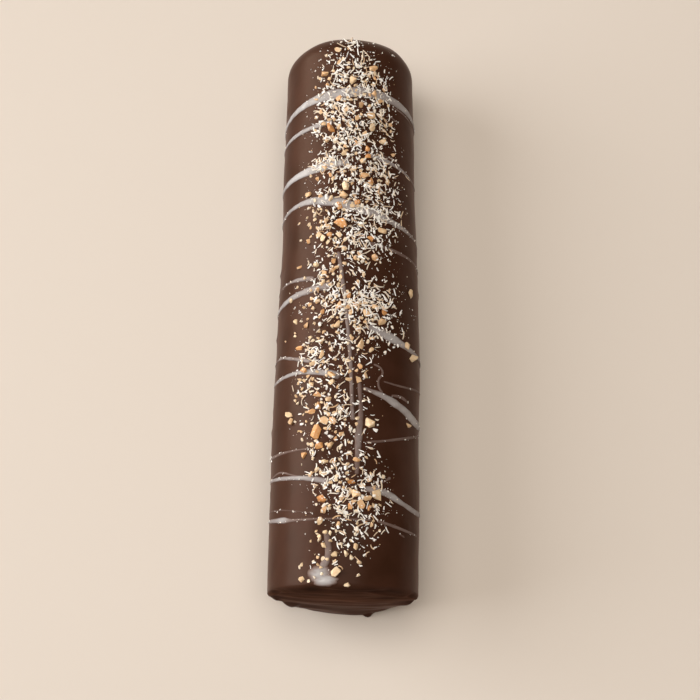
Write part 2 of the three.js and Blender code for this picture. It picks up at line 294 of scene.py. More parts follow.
COAT_STEPS = 168
coat_form = turned(log_outline(), COAT_STEPS)
open_edges = sum(not edge.is_manifold for edge in coat_form.edges)
print("coat corners:", len(coat_form.verts), "open edges:", open_edges)

# %% [markdown]
# Real chocolate is never quite even. Soft noise gives the side slow swells, and crumbs under the
# chocolate make low lumps. A few lumps sit at the edge, where they break the outline.

# %% Relief of the side
SWELL, SWELL_MM, RIPPLE, RIPPLE_MM = 0.22, 17, 0.07, 5
LUMP_SEED, LUMP_COUNT, LUMP_END, LUMP_FADE = 5, 44, 140, 2.5
LUMP_SIZES, LUMP_RISES = (1.6, 4.0), (0.15, 0.5)
EDGE_LUMPS = [(-87, -66.5), (-85, -16.5), (-85, 19), (87, 8.7)]
EDGE_LUMP_SIZE, EDGE_LUMP_RISE = 1.5, 0.55
lump_roll = dice(LUMP_SEED)
LUMPS = [(lump_roll(-math.pi, math.pi), lump_roll(-LUMP_END, LUMP_END), lump_roll(*LUMP_SIZES),
          lump_roll(*LUMP_RISES)) for _ in range(LUMP_COUNT)]
LUMPS += [(math.radians(degrees), y, EDGE_LUMP_SIZE, EDGE_LUMP_RISE) for degrees, y in EDGE_LUMPS]


def side_relief(angle, y):
    around = Vector((math.sin(angle), 0, math.cos(angle))) * MEAN_RADIUS
    spot = around + Vector((0, y, 0))
    height = SWELL * noise.noise(spot / SWELL_MM) + RIPPLE * noise.noise(spot / RIPPLE_MM)
    for lump_angle, lump_y, size, rise in LUMPS:
        gap = math.hypot((math.remainder(angle - lump_angle, math.tau)) * MEAN_RADIUS, y - lump_y) / size
        if gap < LUMP_FADE:
            height += rise * math.exp(-gap * gap)
    return height


print("lumps:", len(LUMPS))

# %% [markdown]
# The ends show how the chocolate moved. Both are crossed by soft streaks. The near one is bowed, with a
# wavy lip under its upper rim, a thicker foot and drips at its lower rim. These are the solid's own, and
# only the finest smears, of less than half a millimetre, are added here. A drip has its angle, its share
# of the radius, its width and its reach.

# %% Relief of the ends
DRIPS = [(-128, 0.91, 8, 1.7), (-106, 0.93, 4, 0.8), (158, 0.96, 5, 1.9), (108, 0.94, 3.5, 0.7)]
DRIP_HEIGHT = 0.67
STREAK, STREAK_GAP, STREAK_BEND = 0.3, 2.6, 13
SMEAR_LONG, SMEAR_HIGH, NEAR_SMEAR, FAR_SMEAR = 16, 5, 0.5, 0.3
FINE_SMEAR, FINE_LONG, FINE_HIGH, FAR_FINE = 0.45, 22, 4.2, 0.15
NEAR_PATTERN, FAR_PATTERN, FINE_PATTERN = 3.0, 8.0, 6.0
SLANT, BOW, FAR_DENT = 0.6, 2, 0.5
LIP, LIP_DROP, LIP_THICKNESS, LIP_WAVE, LIP_WAVE_LENGTH = 0.9, 7.5, 1.8, 0.8, 5
FOOT, FOOT_FROM, FOOT_HALF = 2, 0.35, 32


def rim_top(x):
    return OVAL * math.sqrt(max(0.0, NEAR_RADIUS ** 2 - x * x))


def lip_top(x):
    return rim_top(x) - LIP_DROP + LIP_WAVE * math.sin(x / LIP_WAVE_LENGTH)


def end_relief(x, z, near):
    bulge = STREAK * math.sin(z / STREAK_GAP + math.sin(x / STREAK_BEND))
    smear = noise.noise(Vector((x / SMEAR_LONG, z / SMEAR_HIGH, NEAR_PATTERN if near else FAR_PATTERN)))
    fine = FINE_SMEAR * noise.noise(Vector((x / FINE_LONG, z / FINE_HIGH, FINE_PATTERN)))
    if not near:
        return bulge + FAR_SMEAR * smear + FAR_FINE * fine - FAR_DENT
    bulge += NEAR_SMEAR * smear + fine
    low = clamp((-z / NEAR_RADIUS - FOOT_FROM) / (1 - FOOT_FROM))
    bulge += FOOT * low * low * (3 - 2 * low) * max(0.0, 1 - (x / FOOT_HALF) ** 2)
    bulge += LIP * hump(z, lip_top(x), LIP_THICKNESS)
    aside = x / NEAR_RADIUS
    bulge += SLANT * aside - BOW * aside ** 2
    for degrees, share, width, reach in DRIPS:
        drip_angle, radius = math.radians(degrees), share * half_width(-HALF_LENGTH)
        across = (x - radius * math.sin(drip_angle)) / (width / 2)
        below = (z - OVAL * radius * math.cos(drip_angle)) / (DRIP_HEIGHT * width / 2)
        bulge += reach * math.exp(-(across ** 2 + below ** 2) ** 2)
    return bulge


print("lip below the rim, mm:", round(rim_top(0) - lip_top(0), 1))

# %% [markdown]
# Right under the near rim runs a crease, and below it lies a hollow, deeper on the right. The crease is
# too narrow for the mesh to shade, so the shade of both is painted: the colour is darkened there. Further
# down the chocolate ran smooth before it set, and it is glossier there.

# %% Painted shade and gloss of the near end
RIM_CREASE_SHADE, RIM_CREASE_DROP, RIM_CREASE_THICKNESS = 1.0, 3.4, 3.0
PATCHY_MEAN, PATCHY_SPREAD, PATCHY_LONG, PATCHY_PATTERN = 0.8, 0.6, 9, (2.0, 7.0)
HOLLOW_SHADE, HOLLOW_DROP, HOLLOW_THICKNESS, HOLLOW_SHADE_LEFT = 0.75, 18, 10, 0.7
DEEP_FROM, DEEP_FADE_IN, DEEP_TO, DEEP_FADE_OUT = -4, 10, 28, 8
FOOT_GLOSS, GLOSS_FROM, GLOSS_TO = 0.95, 4, -20


# Painted shade: how far the colour is darkened in the crease under the near rim and the hollow below it.
def painted_shade(x, z):
    patchy = PATCHY_MEAN + PATCHY_SPREAD * noise.noise(Vector((x / PATCHY_LONG, *PATCHY_PATTERN)))
    rim_shade = RIM_CREASE_SHADE * patchy * hump(z, rim_top(x) - RIM_CREASE_DROP, RIM_CREASE_THICKNESS)
    darker_right = clamp((x - DEEP_FROM) / DEEP_FADE_IN) * clamp((DEEP_TO - x) / DEEP_FADE_OUT)
    hollow_shade = HOLLOW_SHADE * (HOLLOW_SHADE_LEFT + (1 - HOLLOW_SHADE_LEFT) * darker_right)
    return max(rim_shade, hollow_shade * hump(z, rim_top(x) - HOLLOW_DROP, HOLLOW_THICKNESS))


def dullness(z):
    return 1 - FOOT_GLOSS * clamp((GLOSS_FROM - z) / (GLOSS_FROM - GLOSS_TO))


print("dullness at the middle of the end:", round(dullness(0), 2))


# %% Shape the coat
def shape_coat(bm):
    dull = bm.verts.layers.float.new("dull")
    # Painted shade of the near end's crease and hollow, kept for the material to darken the colour.
    painted_shade_layer = bm.verts.layers.float.new("painted_shade")
    for vert in bm.verts:
        x, y, z = vert.co
        radius, angle = math.hypot(x, z), math.atan2(x, z)
        near = y < 0
        rim = NEAR_RIM if near else FAR_RIM
        on_end = clamp(1 - (HALF_LENGTH - abs(y)) / rim)
        reach = radius * unevenness(angle, y)
        reach += side_relief(angle, y) * (1 - on_end)
        side_x, side_z = reach * math.sin(angle), OVAL * reach * math.cos(angle)
        vert[dull] = on_end * dullness(side_z) if near else 0.0
        vert[painted_shade_layer] = on_end * painted_shade(side_x, side_z) if near else 0.0
        out = on_end * end_relief(side_x, side_z, near)
        vert.co = in_frame(side_x + sway(y), y - out if near else y + out, axis_height(y) + side_z)


shape_coat(coat_form)
print("coat volume, litres:", round(abs(coat_form.calc_volume()) * 1000, 3))


# %% Finish the coat as a piece
def finish_piece(name, mesh, material):
    piece = bpy.data.objects.new(name, mesh)
    bpy.context.scene.collection.objects.link(piece)
    mesh.materials.append(material)
    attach(piece, "root")
    return piece


coat_mesh = bpy.data.meshes.new("chocolate_coat")
bmesh.ops.recalc_face_normals(coat_form, faces=coat_form.faces)
coat_form.to_mesh(coat_mesh)
coat_form.free()
coat_mesh.shade_smooth()
coat = finish_piece("chocolate_coat", coat_mesh, chocolate)
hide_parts("swiss_roll")
print("coat faces:", len(coat_mesh.polygons))

# %% [markdown]
# ## Icing
# Water icing, thin enough to run off a spoon. Where it lies thick it is a soft grey white, and where it
# is thin the chocolate shows through and browns it. Each corner carries a value called cover, from 0
# for a film to 1 for an opaque bead, and the colour follows it. A see-through layer would do that too,
# but a plain colour is simpler and exports as it is. Sugar icing sets nearly matt.

# %% Icing material
icing, tree, surface = new_material("thin_water_icing")
cover = add_node(tree, "ShaderNodeAttribute", attribute_name="cover").outputs["Fac"]
body = add_node(tree, "ShaderNodeValToRGB", {"Fac": cover})
set_stops(body, [(0.0, "#472B20"), (0.35, "#75635D"), (0.7, "#A29D9D"), (1.0, "#C2C0C1")])
tree.links.new(body.outputs["Color"], surface.inputs["Base Color"])
surface.inputs["Roughness"].default_value = 0.42
surface.inputs["IOR"].default_value = 1.45
surface.inputs["Specular IOR Level"].default_value = 0.08
print("material:", icing.name)

# %% [markdown]
# ## Where the strands run
# The drizzle was swung across the roll, so most strands lie like part of a hoop, and a few run along
# the crest where the spoon paused. A strand is a list of stations: degrees from the crest, y, width and
# whiteness. It could be a curve object with a bevel, but a bevelled curve can't lie flat on the coat or
# swell and thin as it goes, so each strand is a spun sausage that is bent onto the coat.

# %% Strands of the drizzle
STRANDS = [
    [(-98, 101, 2.6, 0.75), (-50, 107.5, 4, 0.95), (-18, 110.5, 6.2, 0.8), (20, 112, 5.6, 0.65),
     (60, 109, 4.2, 0.75), (98, 104, 2.4, 0.6)],
    [(40, 107.5, 0.9, 0.4), (58, 106, 1.1, 0.5), (74, 103.5, 0.9, 0.45)],
    [(34, 102, 0.9, 0.35), (49, 99, 1.0, 0.45)],
    [(-98, 89.5, 1.8, 0.7), (-60, 92, 2.6, 0.9), (-14, 94.8, 3.2, 0.7)],
    [(-98, 64.5, 2, 0.7), (-60, 67, 3.6, 0.95), (-25, 69, 5.2, 0.9), (0, 71, 3, 0.7)],
    [(14, 76, 2.6, 0.65), (36, 74, 2.8, 0.75), (70, 70.5, 1.4, 0.6), (90, 69.5, 1.2, 0.5)],
    [(22, 77.8, 0.8, 0.3), (40, 76.2, 1.0, 0.4), (50, 75, 0.7, 0.4)],
    [(-98, 46.5, 1.6, 0.7), (-50, 50.5, 2.8, 0.85), (-20, 49.5, 5.4, 0.8), (14, 43.5, 5, 0.7),
     (42, 39.8, 3.4, 0.75), (66, 37.4, 2.2, 0.6), (96, 34.5, 1.4, 0.35)],
    [(15, 26, 1.6, 0.4), (40, 24, 2, 0.4), (92, 21.5, 1.3, 0.35)],
    [(-94, 7.5, 0.7, 0.4), (-64, 8.7, 1.3, 0.55), (-45, 8.5, 2.4, 0.65), (-28, 7, 2.8, 0.5)],
    [(-98, -3.5, 2, 0.65), (-74, -2.2, 2.6, 0.8), (-50, 0, 3.4, 0.8), (-12, 2.6, 4, 0.5)],
    [(-9, 21, 2, 0.48), (-5, 5, 2.2, 0.54), (2, -33, 2, 0.54), (5.5, -69, 2.2, 0.48)],
    [(10, -48, 2, 0.32), (11.5, -64, 2.4, 0.38), (10, -76, 3.6, 0.52), (9, -96, 2, 0.36)],
    [(14, -19.5, 2.6, 0.6), (36, -23.5, 5, 0.8), (60, -26.8, 3, 0.75), (98, -29.5, 1.6, 0.5)],
    [(-95, -31, 1.0, 0.5), (-66, -30.8, 1.4, 0.6), (-46, -34, 2, 0.65), (-28, -37.4, 2.2, 0.6)],
    [(-98, -41, 1.8, 0.7), (-74, -42.4, 2, 0.8), (-40, -42, 2.6, 0.85), (-16, -44, 3.6, 0.7),
     (-4, -46, 4.6, 0.4)],
    [(12, -51.5, 1.8, 0.5), (29, -54.5, 3.4, 0.7), (49, -59, 5, 0.8), (70, -63, 5.2, 0.85),
     (100, -62, 2.6, 0.7)],
    [(29, -47, 0.9, 0.35), (50, -47.4, 1.2, 0.4), (94, -44, 1.0, 0.35)],
    [(20, -38.5, 1.2, 0.4), (27, -40.2, 1.3, 0.45), (29, -43, 1.3, 0.4), (25.5, -46.5, 1.4, 0.4),
     (26, -50.5, 1.2, 0.4), (30, -53.5, 1.2, 0.4)],
    [(36, -53.4, 1.0, 0.3), (48, -53.2, 2, 0.45), (57, -55, 1.0, 0.3)],
    [(15, -79, 1.1, 0.3), (28, -77.8, 1.4, 0.35), (50, -74, 1.6, 0.4), (84, -67.5, 1.2, 0.35),
     (96, -66, 0.9, 0.3)],
    [(-98, -79.5, 2.2, 0.6), (-74, -81.2, 1.7, 0.5), (-26, -82, 0.9, 0.4)],
    [(-78, -92.3, 0.8, 0.5), (-58, -91, 1.0, 0.5), (-42, -94, 0.9, 0.45), (-34, -95.6, 0.8, 0.4)],
    [(-98, -91, 1.6, 0.7), (-60, -94, 2, 0.8), (-30, -96.5, 2.6, 0.8), (-8, -99.4, 3.4, 0.55)],
    [(14, -102, 3, 0.55), (32, -103.2, 4, 0.75), (50, -107, 3, 0.75), (70, -108.8, 3, 0.75),
     (94, -107, 1.8, 0.6)],
    [(29, -98.5, 0.9, 0.3), (33, -96.6, 1.2, 0.4), (37, -94.8, 2.4, 0.55)],
    [(-92, -107.2, 0.7, 0.2), (-55, -110, 0.8, 0.2), (-22, -114, 0.6, 0.15)],
    [(-98, -111, 1.6, 0.75), (-66, -114, 2.2, 0.75), (-52, -115.2, 3, 0.8), (-38, -116.3, 1.4, 0.5),
     (0, -117, 1.0, 0.3), (22, -117, 1.2, 0.35)],
    [(24, -117, 1.5, 0.4), (50, -119.5, 1.6, 0.5), (72, -120.2, 1.2, 0.4)],
    [(44, -121.6, 0.8, 0.25), (52, -123, 1.3, 0.3)],
    [(-13, -122, 2.4, 0.3), (-11, -131, 3.4, 0.4), (-12, -136, 3.6, 0.44), (-17, -141, 4.4, 0.6)],
]
print("strands:", len(STRANDS))

# %% Smooth lines through the stations
STRAND_STEP, LEAST_STATIONS, LINE_PARTS = 1.2, 6, 24


def smooth_line(stations):
    points = [Vector((math.radians(degrees) * MEAN_RADIUS, *rest)) for degrees, *rest in stations]
    guide = [2 * points[0] - points[1], *points, 2 * points[-1] - points[-2]]
    fine = []
    for a, b, c, d in zip(guide, guide[1:], guide[2:], guide[3:]):
        for t in np.arange(LINE_PARTS) / LINE_PARTS:
            fine.append(0.5 * (2 * b + (c - a) * t + (2 * a - 5 * b + 4 * c - d) * t ** 2
                               + (3 * b - a - 3 * c + d) * t ** 3))
    fine = np.array([*fine, points[-1]])
    steps = np.hypot(*np.diff(fine[:, :2], axis=0).T)
    travelled = np.concatenate([[0], np.cumsum(steps)])
    even = np.linspace(0, travelled[-1], max(LEAST_STATIONS, round(travelled[-1] / STRAND_STEP)))
    return np.stack([np.interp(even, travelled, fine[:, k]) for k in range(4)], axis=1)


lines = [smooth_line(stations) for stations in STRANDS]
print("drizzle length, mm:", round(sum(len(line) for line in lines) * STRAND_STEP))

# %% Rise and cover of a strand
STRAND_RISE, CLEAR_DEPTH = 0.36, 0.3


def rise_of(width):
    return STRAND_RISE * math.sqrt(width)


def cover_of(thickness, milk):
    return milk * (1 - math.exp(-thickness / CLEAR_DEPTH))


print("rise of a strand 4 mm wide, mm:", rise_of(4))

# %% Bend a sausage onto the coat
STRAND_SINK, STRAND_SIDES, STRAND_TIP = 0.12, 12, 0.75
WIDTH_WAVER, WIDTH_WAVER_MM, WIDTH_PATTERN = 0.2, 3, 3.7
MILK_LEVEL, MILK_WAVER, MILK_WAVER_MM, MILK_PATTERN = 1.02, 0.3, 2.5, 5.3


def arrays_of(bm):
    bmesh.ops.recalc_face_normals(bm, faces=bm.faces)
    bm.verts.index_update()
    corners = np.array([vert.co for vert in bm.verts])
    faces = [[vert.index for vert in face.verts] for face in bm.faces]
    bm.free()
    return corners, faces


def strand_arrays(line, number):
    last = len(line) - 1
    tip = STRAND_TIP * line[[0, -1], 2].mean() / STRAND_STEP
    full = [math.sqrt(clamp(1 - (1 - min(i, last - i) / tip) ** 2)) if min(i, last - i) < tip else 1.0
            for i in range(last + 1)]
    bm = turned([(fullness, i) for i, fullness in enumerate(full)], STRAND_SIDES)
    heading = np.gradient(line[:, :2], axis=0)
    heading /= np.linalg.norm(heading, axis=1)[:, None]
    covers = []
    for vert in bm.verts:
        station = round(vert.co.y)
        arc, y, width, milk = line[station]
        waver = noise.noise(Vector((arc / WIDTH_WAVER_MM, y / WIDTH_WAVER_MM, number * WIDTH_PATTERN)))
        cloud = noise.noise(Vector((vert.co.x + arc / MILK_WAVER_MM, y / MILK_WAVER_MM,
                                    number * MILK_PATTERN)))
        width *= 1 + WIDTH_WAVER * waver
        milk *= MILK_LEVEL + MILK_WAVER * cloud
        across = vert.co.x * width / 2
        lift = rise_of(width) * vert.co.z - STRAND_SINK
        covers.append(cover_of(max(0.0, lift + STRAND_SINK), milk))
        vert.co = coat_point((arc + across * heading[station][1]) / MEAN_RADIUS,
                             y - across * heading[station][0], lift)
    corners, faces = arrays_of(bm)
    return corners, faces, np.array(covers)


strands = [strand_arrays(line, number) for number, line in enumerate(lines)]
print("strand corners:", sum(len(corners) for corners, _, _ in strands))

# %% [markdown]
# The last strand ran out in two shallow pools at the near rim. A sphere pressed flat onto the coat has
# the right lens shape. Each has its arc from the crest, y, half-arc, half-length, rise and whiteness.

# %% Pools of icing at the near rim
POOLS = [(-10.8, -142.8, 6, 4.2, 0.7, 0.78), (-8, -146, 6.2, 2.8, 0.8, 0.93)]
POOL_SINK, POOL_THIN_EDGE = 0.5, 1.6
POOL_RAGGED, POOL_RAGGED_SCALE = 0.22, 2.2
POOL_CLOUD, POOL_CLOUD_SCALE, POOL_PATTERN = 0.25, 3, 1.0


def pool_arrays(arc, middle, half_arc, half_length, rise, milk):
    bm = bmesh.new()
    bmesh.ops.create_icosphere(bm, subdivisions=4, radius=1.0)
    covers = []
    for vert in bm.verts:
        x, y, z = vert.co
        edge = 1 + POOL_RAGGED * noise.noise(Vector((POOL_RAGGED_SCALE * x, POOL_RAGGED_SCALE * y, arc)))
        cloud = noise.noise(Vector((POOL_CLOUD_SCALE * x, POOL_CLOUD_SCALE * y, POOL_PATTERN)))
        lift = rise * z if z > 0 else POOL_SINK * z
        covers.append(milk * max(0.0, z) ** POOL_THIN_EDGE * (1 + POOL_CLOUD * cloud))
        vert.co = coat_point((arc + half_arc * edge * x) / MEAN_RADIUS, middle + half_length * edge * y, lift)
    corners, faces = arrays_of(bm)
    return corners, faces, np.array(covers)


pools = [pool_arrays(*pool) for pool in POOLS]
print("pools:", len(pools))

# %% [markdown]
# Many small forms become one piece: their corners and faces are stacked in arrays, and a value for
# each corner goes along as an attribute that the material can read.


# %% Join the icing
def joined_piece(name, parts, attribute, material, smooth):
    corners, faces, values, start = [], [], [], 0
    for own_corners, own_faces, value in parts:
        corners.append(own_corners)
        faces += [[i + start for i in face] for face in own_faces]
        values.append(np.broadcast_to(value, len(own_corners)))
        start += len(own_corners)
    mesh = bpy.data.meshes.new(name)
    mesh.from_pydata(np.concatenate(corners).tolist(), [], faces)
    layer = mesh.attributes.new(attribute, "FLOAT", "POINT")
    layer.data.foreach_set("value", np.concatenate(values).astype(np.float32))
    mesh.polygons.foreach_set("use_smooth", [smooth] * len(mesh.polygons))
    mesh.update()
    return finish_piece(name, mesh, material)


drizzle = joined_piece("icing_drizzle", [*strands, *pools], "cover", icing, True)
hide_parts("swiss_roll")
print("drizzle faces:", len(drizzle.data.polygons))

# %% [markdown]
# ## The sprinkled band
# Nuts and coconut were strewn by hand along the crest, so the band wanders and its edge is ragged. One
# straight strip with a random scatter would look machine made. So a table of stations gives y, the
# middle of the nuts and of the coconut as an arc from the crest, the half-width, and how thickly nuts
# and coconut fell there.

# %% Stations of the band
BAND = [
    (138, -3, 3, 16, 0.6, 0.6), (130, -2, 3, 18, 0.9, 0.9), (115, 1, 3, 19, 0.85, 1),
    (100, 1, 2, 21, 0.9, 1), (85, 0, 4, 23, 0.9, 1), (70, 1, 5, 22, 0.9, 0.9), (55, -3, 6, 22, 0.85, 1),
    (40, -7, 6, 22, 1, 1), (25, -4, 3, 19, 0.75, 0.85), (10, -7, 0, 21, 0.9, 0.8),
    (-5, -8, 4, 25, 0.9, 1), (-20, -9, 6, 26, 1, 0.75), (-35, -6, -3, 20, 1, 0.5),
    (-50, -12, -8, 18, 0.9, 0.45), (-65, -13, -4, 17, 1, 0.5), (-80, -9, -2, 18, 0.9, 0.5),
    (-95, 2, 1, 18, 0.85, 0.75), (-110, 4, 5, 17, 0.75, 0.75), (-125, -2, 3, 15, 0.4, 0.35),
    (-140, -8, -4, 12, 0.3, 0.1),
]


def band_at(y):
    following = next((i for i, knot in enumerate(BAND) if knot[0] <= y), len(BAND) - 1)
    above, below = BAND[max(1, following) - 1], BAND[max(1, following)]
    part = (above[0] - y) / (above[0] - below[0])
    return [(1 - part) * a + part * b for a, b in zip(above, below)]


print("band at the middle:", [round(v, 2) for v in band_at(0)])

# %% [markdown]
# Things are placed largest first, and they keep clear of each other until the band gets crowded. Two
# draws are added up for the offset from the middle, so most fall near it and a few stray. Towards the
# far end the small ones thin out, so that the band has no straight edge there.

# %% Strewing
CORE_SHARE, FRINGE_SHARE = 0.75, 0.45
NUT, COCONUT = 0, 1
FAR_EDGE, FAR_FADE = 141, 20


def scatter(count, seed, kind, size_of, taken, crowded_after, fringe=FRINGE_SHARE):
    roll = dice(seed)
    placed = []
    while len(placed) < count:
        y = roll(BAND[-1][0], BAND[0][0])
        band = band_at(y)
        offset = CORE_SHARE * (2 * roll() - 1) + fringe * (2 * roll() - 1)
        arc = band[1 + kind] + band[3] * offset
        chance, turn = roll(), roll() * math.pi
        size = size_of(len(placed))
        others = [*taken, *placed] if len(placed) < crowded_after else taken
        free = all(math.hypot(o[0] - arc, o[1] - y) > (o[2] + size) / 2 for o in others)
        if chance < band[4 + kind] and free:
            placed.append((arc, y, size, turn))
    return placed


def ragged(spots, seed, kept):
    roll = dice(seed)
    return [spot for rank, spot in enumerate(spots)
            if spot[1] < FAR_EDGE - FAR_FADE * roll() or rank < kept]


print("strewn over, mm:", BAND[-1][0], "to", BAND[0][0])

# %% [markdown]
# The largest nuts catch the eye one by one, so those have their own places, and so have the few by the
# near rim: arc, y and size. The rest is strewn.

# %% Places of the nuts
PLACED_NUTS = [
    (-4.4, 36, 6), (-13.3, -74, 6.2), (-10.7, 91, 5.2), (-10.3, -107, 5.2), (38.2, -30, 5),
    (15.3, -105, 5), (11.2, -69.5, 5), (-3.3, -142.5, 5), (-1.8, 57, 4.8), (19, 85, 4.6),
    (1.4, 119, 4.5), (12.3, 92, 4.4), (36.4, 4, 4.4), (-11, -117.6, 4), (33, -25.5, 3.8),
    (-8.8, -129.5, 3.7), (35.6, -66, 3.7), (5.6, -130, 3.4), (-28.8, -14, 3), (-20, -145, 3),
]
NEAR_NUTS = [
    (-16, -146, 1.9), (-9.5, -143, 1.7), (-13, -144.5, 1.6), (2, -148, 2.6), (-9.3, -135.7, 2),
    (-21, -139, 1.7), (7.5, -137.4, 2.4), (7, -143.5, 1.7), (-6, -123.7, 2.3),
]
NUT_SEED, NUT_COUNT, SOLID_NUTS, NUT_LOOSE = 41, 540, 80, 240
NUT_LARGE, NUT_SMALL, NUT_FADE = 4.4, 1.6, 110


def nut_size(rank):
    return NUT_SMALL + (NUT_LARGE - NUT_SMALL) * math.exp(-rank / NUT_FADE)


by_hand = [(arc, y, size, i) for i, (arc, y, size) in enumerate(PLACED_NUTS)]
strewn = scatter(NUT_COUNT - len(by_hand), NUT_SEED, NUT, nut_size, by_hand, NUT_LOOSE)
nut_spots = ragged([*by_hand, *strewn], NUT_SEED, SOLID_NUTS)
nut_spots += [(arc, y, size, i) for i, (arc, y, size) in enumerate(NEAR_NUTS)]
print("nuts:", len(nut_spots))

# %% [markdown]
# What falls on a strand or on a nut lies higher than what falls on the bare coat. Two search trees
# find the nearest strand and the nearest nut, and give the height of the ground under any spot.

# %% Height of the icing
line_points = np.concatenate(lines)
icing_tree = kdtree.KDTree(len(line_points))
for i, (arc, y, *_) in enumerate(line_points):
    icing_tree.insert((arc, y, 0), i)
icing_tree.balance()


def icing_height(arc, y):
    _, nearest, gap = icing_tree.find((arc, y, 0))
    width = line_points[nearest][2]
    height = rise_of(width) * math.sqrt(clamp(1 - (2 * gap / width) ** 2))
    for middle_arc, middle_y, half_arc, half_length, rise, _ in POOLS:
        inside = 1 - ((arc - middle_arc) / half_arc) ** 2 - ((y - middle_y) / half_length) ** 2
        height = max(height, rise * math.sqrt(max(0.0, inside)))
    return height


print("icing under the crest at y=111 mm:", round(icing_height(0, 111), 2))

# %% Height of the nuts
NUT_TOP, NUT_SPAN = 0.45, 0.6
nut_tree = kdtree.KDTree(len(nut_spots))
for i, (arc, y, size, turn) in enumerate(nut_spots):
    nut_tree.insert((arc, y, 0), i)
nut_tree.balance()


def nut_cover(arc, y):
    _, nearest, gap = nut_tree.find((arc, y, 0))
    size = nut_spots[nearest][2]
    return NUT_TOP * size * math.sqrt(clamp(1 - (gap / (NUT_SPAN * size)) ** 2))


print("height over the first nut, mm:", round(nut_cover(*nut_spots[0][:2]), 2))

# %% [markdown]
# Coconut doesn't stay everywhere. It slid off the strands of icing that run along the crest, and in a
# few patches less of it fell. A patch has its arc, y, half-arc, half-length and the share that is
# missing.

# %% Where coconut is missing
SPARSE_SEED = 3
SPARSE = [(8, 9, 19, 8, 0.6), (-5, -80, 7, 8, 0.6), (-4, 131, 8, 7, 0.4), (-15, -20, 7, 8, 0.5)]
sparse_roll = dice(SPARSE_SEED)
runs_along = np.concatenate([np.full(len(line), np.ptp(line[:, 1]) > np.ptp(line[:, 0])) for line in lines])


def missed(arc, y):
    _, nearest, gap = icing_tree.find((arc, y, 0))
    slid_off = runs_along[nearest] and gap < line_points[nearest][2] / 2
    draw = sparse_roll()
    thin = any(draw < share and math.hypot((arc - middle_arc) / half_arc, (y - middle_y) / half_length) < 1
               for middle_arc, middle_y, half_arc, half_length, share in SPARSE)
    return slid_off or thin


print("icing that runs along, mm:", round(int(runs_along.sum()) * STRAND_STEP))

# %% [markdown]
# ## Chopped nuts
# A chopped nut is a chip with flat breaks and sharp corners. The convex hull of a handful of points
# makes just that, with about twenty faces. Sixteen chips are enough, since each copy gets its own
# length, width, height and turn.

# %% Chips
CHIP_FORMS, CHIP_CORNERS, CHIP_REACH = 16, 13, (0.7, 1.0)


def chip_form(roll, points):
    bm = bmesh.new()
    for _ in range(points):
        way = Vector((roll(-1, 1), roll(-1, 1), roll(-1, 1))).normalized()
        bm.verts.new(way * roll(*CHIP_REACH))
    bmesh.ops.convex_hull(bm, input=bm.verts)
    bmesh.ops.delete(bm, geom=[vert for vert in bm.verts if not vert.link_faces], context="VERTS")
    corners, faces = arrays_of(bm)
    low, high = corners.min(axis=0), corners.max(axis=0)
    return (corners - (low + high) / 2) / (high - low), faces


chip_roll = dice(NUT_SEED)
chips = [chip_form(chip_roll, CHIP_CORNERS) for _ in range(CHIP_FORMS)]
print("chip faces:", [len(faces) for _, faces in chips])

# %% Lay each nut on the coat
NUT_LENGTH, NUT_WIDTH, NUT_HEIGHT = (0.9, 1.25), (0.65, 0.95), (0.45, 0.7)
NUT_SINK, NUT_LEAN, SMALL_TONES = 0.3, 0.3, 0.62
FACET_DRAWS = 12


def laid_on_coat(corners, arc, y, lift, turn, lean, tip):
    angle = arc / MEAN_RADIUS
    basis = Matrix(((math.cos(angle), 0, math.sin(angle)), (0, 1, 0),
                    (-math.sin(angle), 0, math.cos(angle))))
    own = Matrix.Rotation(turn, 3, "Z") @ Matrix.Rotation(tip, 3, "Y") @ Matrix.Rotation(lean, 3, "X")
    return corners @ np.array(basis @ own).T * MM + np.array(coat_point(angle, y, lift))


def nut_arrays(rank):
    arc, y, size, turn = nut_spots[rank]
    roll = dice(NUT_SEED + rank + 1)
    # The solid draws its own facets first, so these draws are passed over.
    for _ in range(FACET_DRAWS):
        roll()
    height, length, width = size * roll(*NUT_HEIGHT), size * roll(*NUT_LENGTH), size * roll(*NUT_WIDTH)
    corners, faces = chips[rank % CHIP_FORMS]
    lift = height * (0.5 - NUT_SINK) + icing_height(arc, y)
    lean, tip = roll(-NUT_LEAN, NUT_LEAN), roll(-NUT_LEAN, NUT_LEAN)
    placed = laid_on_coat(corners * (length, width, height), arc, y, lift, turn, lean, tip)
    grown = clamp((size - NUT_SMALL) / NUT_SMALL)
    return placed, faces, SMALL_TONES * roll() + (1 - SMALL_TONES) * grown


nut_parts = [nut_arrays(rank) for rank in range(len(nut_spots))]
print("nuts laid:", len(nut_parts))

# %% [markdown]
# Roasted hazelnut and almond: pale cream where it broke, peach where the roasting reached, and an orange
# brown skin. Each chip has its own tone, deeper on the larger ones, and a mottle of about 1.2 mm breaks
# it up.

